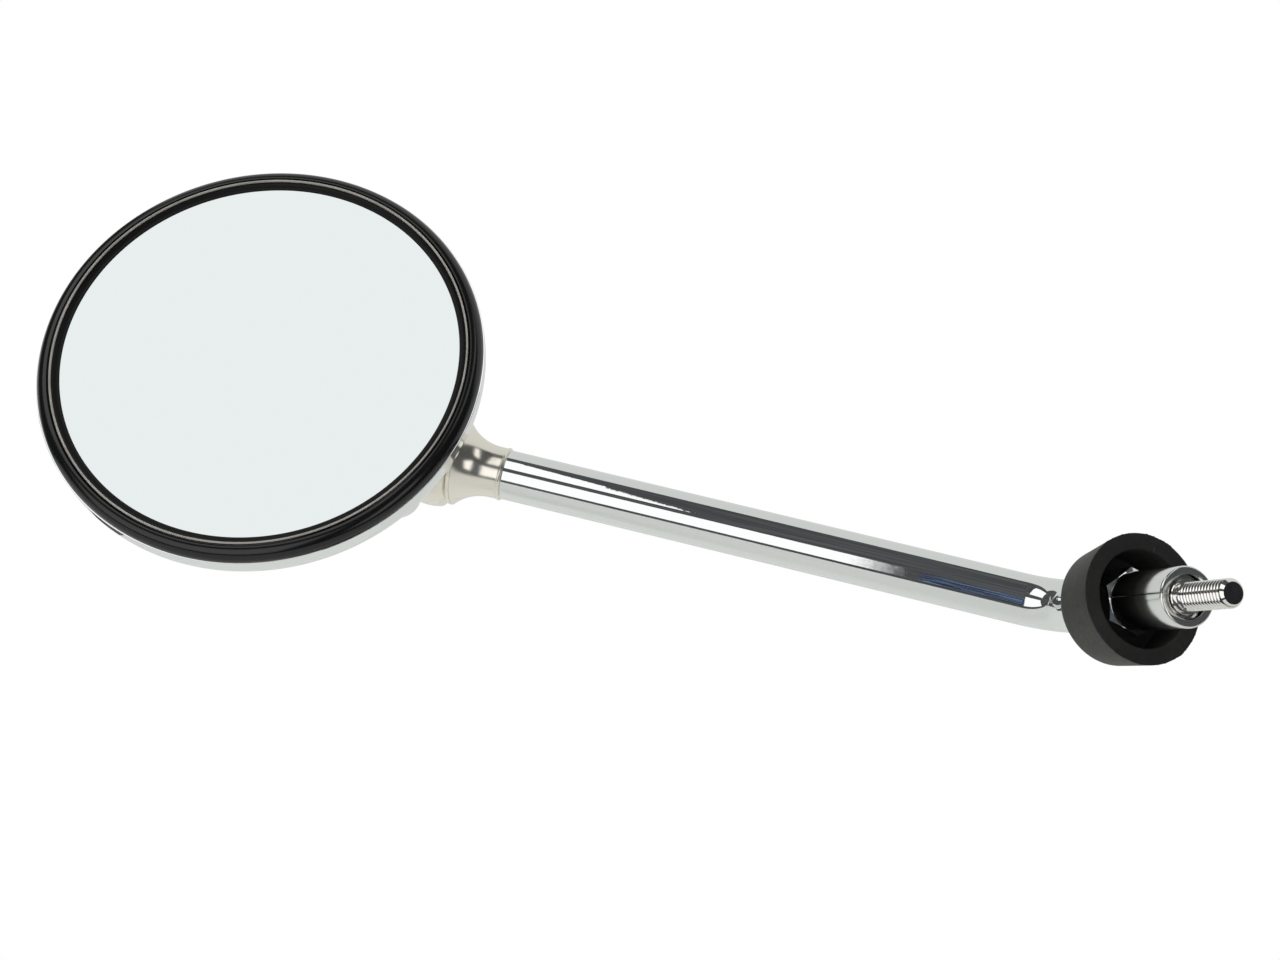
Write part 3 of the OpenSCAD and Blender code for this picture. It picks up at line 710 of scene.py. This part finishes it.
# The head's frame has its z axis out of the glass. The head is turned about the arm, so that the
# glass faces 12.9 degrees up, and tilted 1.6 degrees across it, both about the knuckle's centre.
head_turn = 12.9
head_tilt = 1.6
knuckle_reach = 0.012
mouth_from_knuckle = Vector((-0.0449, 0.0056, 0.0318))
head_frame = (
    corner_frame @ Matrix.Translation((-knuckle_at - knuckle_reach, 0, 0))
    @ Matrix.Rotation(math.radians(90 - head_turn), 4, "X")
    @ Matrix.Rotation(math.radians(head_tilt), 4, "Y")
    @ Matrix.Translation(mouth_from_knuckle) @ millimetre)

dome_start = -math.degrees(math.acos(shoulder_x / (dome_r - shoulder_r)))
inner_r = house_r - sheet_t
shell_profile = (
    [(house_r, house_mouth_z - 0.1)]
    + arc(shoulder_x, shoulder_z, shoulder_r, 0, dome_start, 24)
    + arc(0, dome_z, dome_r, dome_start, dome_middle, 40)
    + arc(0, dome_z, dome_r - sheet_t, dome_middle, dome_start, 40)
    + arc(shoulder_x, shoulder_z, shoulder_r - sheet_t, dome_start, 0, 12)
    + [(inner_r, flange_z - sheet_t), (flange_r, flange_z - sheet_t), (flange_r, flange_z),
       (inner_r, flange_z), (inner_r, house_mouth_z), (house_r - 0.1, house_mouth_z)])
pressed_shell = turned("pressed_shell", shell_profile, head_frame, chrome, around=240)
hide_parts("housing")

pad_x = 24.0
pad_y = -5.6
pad_z = -22.34
pad_r = 18.8
pad_round = 0.6
pad_height = 4.6
pad_frame = head_frame @ Matrix.Translation((pad_x, pad_y, 0))
pad_profile = (
    [(centre_r, pad_z)]
    + arc(pad_r - pad_round, pad_z + pad_round, pad_round, -90, 0)
    + [(pad_r, pad_z + pad_height), (centre_r, pad_z + pad_height)])
bracket_pad = turned("bracket_pad", pad_profile, pad_frame, chrome, closed=False)

boss_x = 61.5
boss_z = -9.5
boss_r = 7.5
boss_turn = -29.0
boss_cut = 3.5
boss_frame = (head_frame @ Matrix.Rotation(math.radians(boss_turn), 4, "Z")
              @ Matrix.Translation((boss_x, 0, boss_z)))
boss_top = math.degrees(math.asin(boss_cut / boss_r))
boss_profile = arc(0, 0, boss_r, -89.9, boss_top, 32) + [(centre_r, boss_cut)]
shell_boss = turned("shell_boss", boss_profile, boss_frame, chrome, closed=False)
for piece in (pressed_shell, bracket_pad, shell_boss):
    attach(piece, "head")

# Foot screws
# Three M5 pan head screws with lock washers, zinc plated bright like the stud. They go through
# the bracket's foot into a tapped plate of plain steel inside the housing.
dress(zinc, *(f"{kind}_{i}" for kind in ("foot_screw", "lock_washer") for i in (1, 2, 3)))
dress(plain_steel, "tapped_plate")

# Backing and foam
# Stiff hardboard disc that lies on the housing's flange, and a thin foam pad between it and the
# glass. Neither shows.

# Hardboard: dark brown pressed fibre, drawn 2 mm wide, which is coarser than the real fibre.
hardboard = mottled("pressed_hardboard", "#2A221C", "#4A3D32", patch=2.0, detail=5.0, rough=0.8)
dress(hardboard, "backing_disc")

# Foam: dark grey with open cells 1.1 mm across.
foam, tree = new_material("open_cell_foam")
place = add(tree, "ShaderNodeTexCoord")
cells = add(tree, "ShaderNodeTexVoronoi", {"Vector": place.outputs["Object"], "Scale": per_metre(1.11)})
tint = add(tree, "ShaderNodeMix", {
    0: cells.outputs[0], 6: linear("#1C1C1D"), 7: linear("#3A3A3C")}, data_type="RGBA")
body = add(tree, "ShaderNodeBsdfPrincipled", {"Base Color": tint.outputs[2], "Roughness": 0.95})
add(tree, "ShaderNodeOutputMaterial", {"Surface": body.outputs[0]})
dress(foam, "foam_pad")

# Mirror glass
# Round glass, 2.6 mm thick, bent to a slight outward curve and silvered behind. The bead's lip
# holds it on the foam pad.
glass_r = 64.5
glass_curve_r = 1200.0
glass_t = 2.6
glass_edge = -0.197
glass_rings = 24

# Silvered glass: a faultless mirror with a faint cool tint and a breath of haze every 33 mm.
silvered_glass = hazed("silvered_glass", "#D6DCDB",
                       patch=33.3, detail=2.0, rough=(0.005, 0.02), metallic=1.0)

front = []
for i in range(glass_rings + 1):
    r = glass_r * i / glass_rings
    front.append((r, glass_edge + (glass_r ** 2 - r ** 2) / (2 * glass_curve_r)))
back = [(r, z - glass_t) for r, z in reversed(front)]
glass_profile = [(max(r, 0.001), z) for r, z in front + back]
convex_glass = turned("convex_glass", glass_profile, head_frame, silvered_glass, closed=False)
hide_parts("mirror_glass")
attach(convex_glass, "head")

# Bead
# Extruded black rubber bead pushed into the housing's mouth: a flat lip on the glass, a thin
# sharp ridge whose bright line is a painted highlight, a groove and a rounded outer band.
lip_r = 61.7
ridge_r = 64.1
ridge_round = 0.32
band_x = 65.4
band_z = -2.05
band_r = 3.65
bead_r = 68.55
bead_shoulder_z = -1.75
pocket_z = -5.29
pocket_play = 0.05
lip_chamfer = 0.12
slope_steps = 8

# Glossy extruded rubber: deep black with a wet shine and faint drag marks 6 mm long.
extruded_rubber = hazed("glossy_extruded_rubber", "#0B0B0C",
                        patch=6.25, detail=3.0, rough=(0.12, 0.24))

# Matt rubber of the lip, which lies on the glass: its shine is dull and changes every 4 mm.
matt_rubber = hazed("matt_extruded_rubber", "#100F0F",
                    patch=3.85, detail=3.0, rough=(0.3, 0.5), specular=0.2)

# Pale rubber along the ridge: a painted highlight, the thin bright line that its crest catches,
# wandering between two pale greys in patches of 8 mm.
ridge_highlight_rubber = mottled("painted_highlight_ridge", "#8A867E", "#D8D4CC",
                         patch=8.33, detail=4.0, rough=0.3)

lip = [(glass_r + pocket_play, pocket_z), (glass_r + pocket_play, -0.15),
       (lip_r, 0.0), (lip_r + lip_chamfer, 0.25)]
for i in range(1, slope_steps + 1):
    share = i / slope_steps
    lip.append((lip_r + lip_chamfer + 1.9 * share, 0.25 + 0.75 * share ** 2))
ridge = [(ridge_r - 0.2, 1.4)] + arc(ridge_r + 0.14, 1.58, ridge_round, 150, 5, 6)
groove = [(ridge_r + 0.5, 1.1), (ridge_r + 0.75, 0.95), (ridge_r + 1.0, 1.1)]
band = (arc(band_x, band_z, band_r, 92, 4.8, 16)
        + [(bead_r, bead_shoulder_z), (bead_r, pocket_z)])
for name, profile, rubber in (
        ("bead_lip", lip + ridge[:1], matt_rubber),
        ("bead_ridge", ridge, ridge_highlight_rubber),
        ("bead_band", ridge[-1:] + groove + band, extruded_rubber)):
    piece = turned(name, profile, head_frame, rubber, around=240, closed=False)
    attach(piece, "head")
    if name == "bead_band":
        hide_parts("rim_bead")
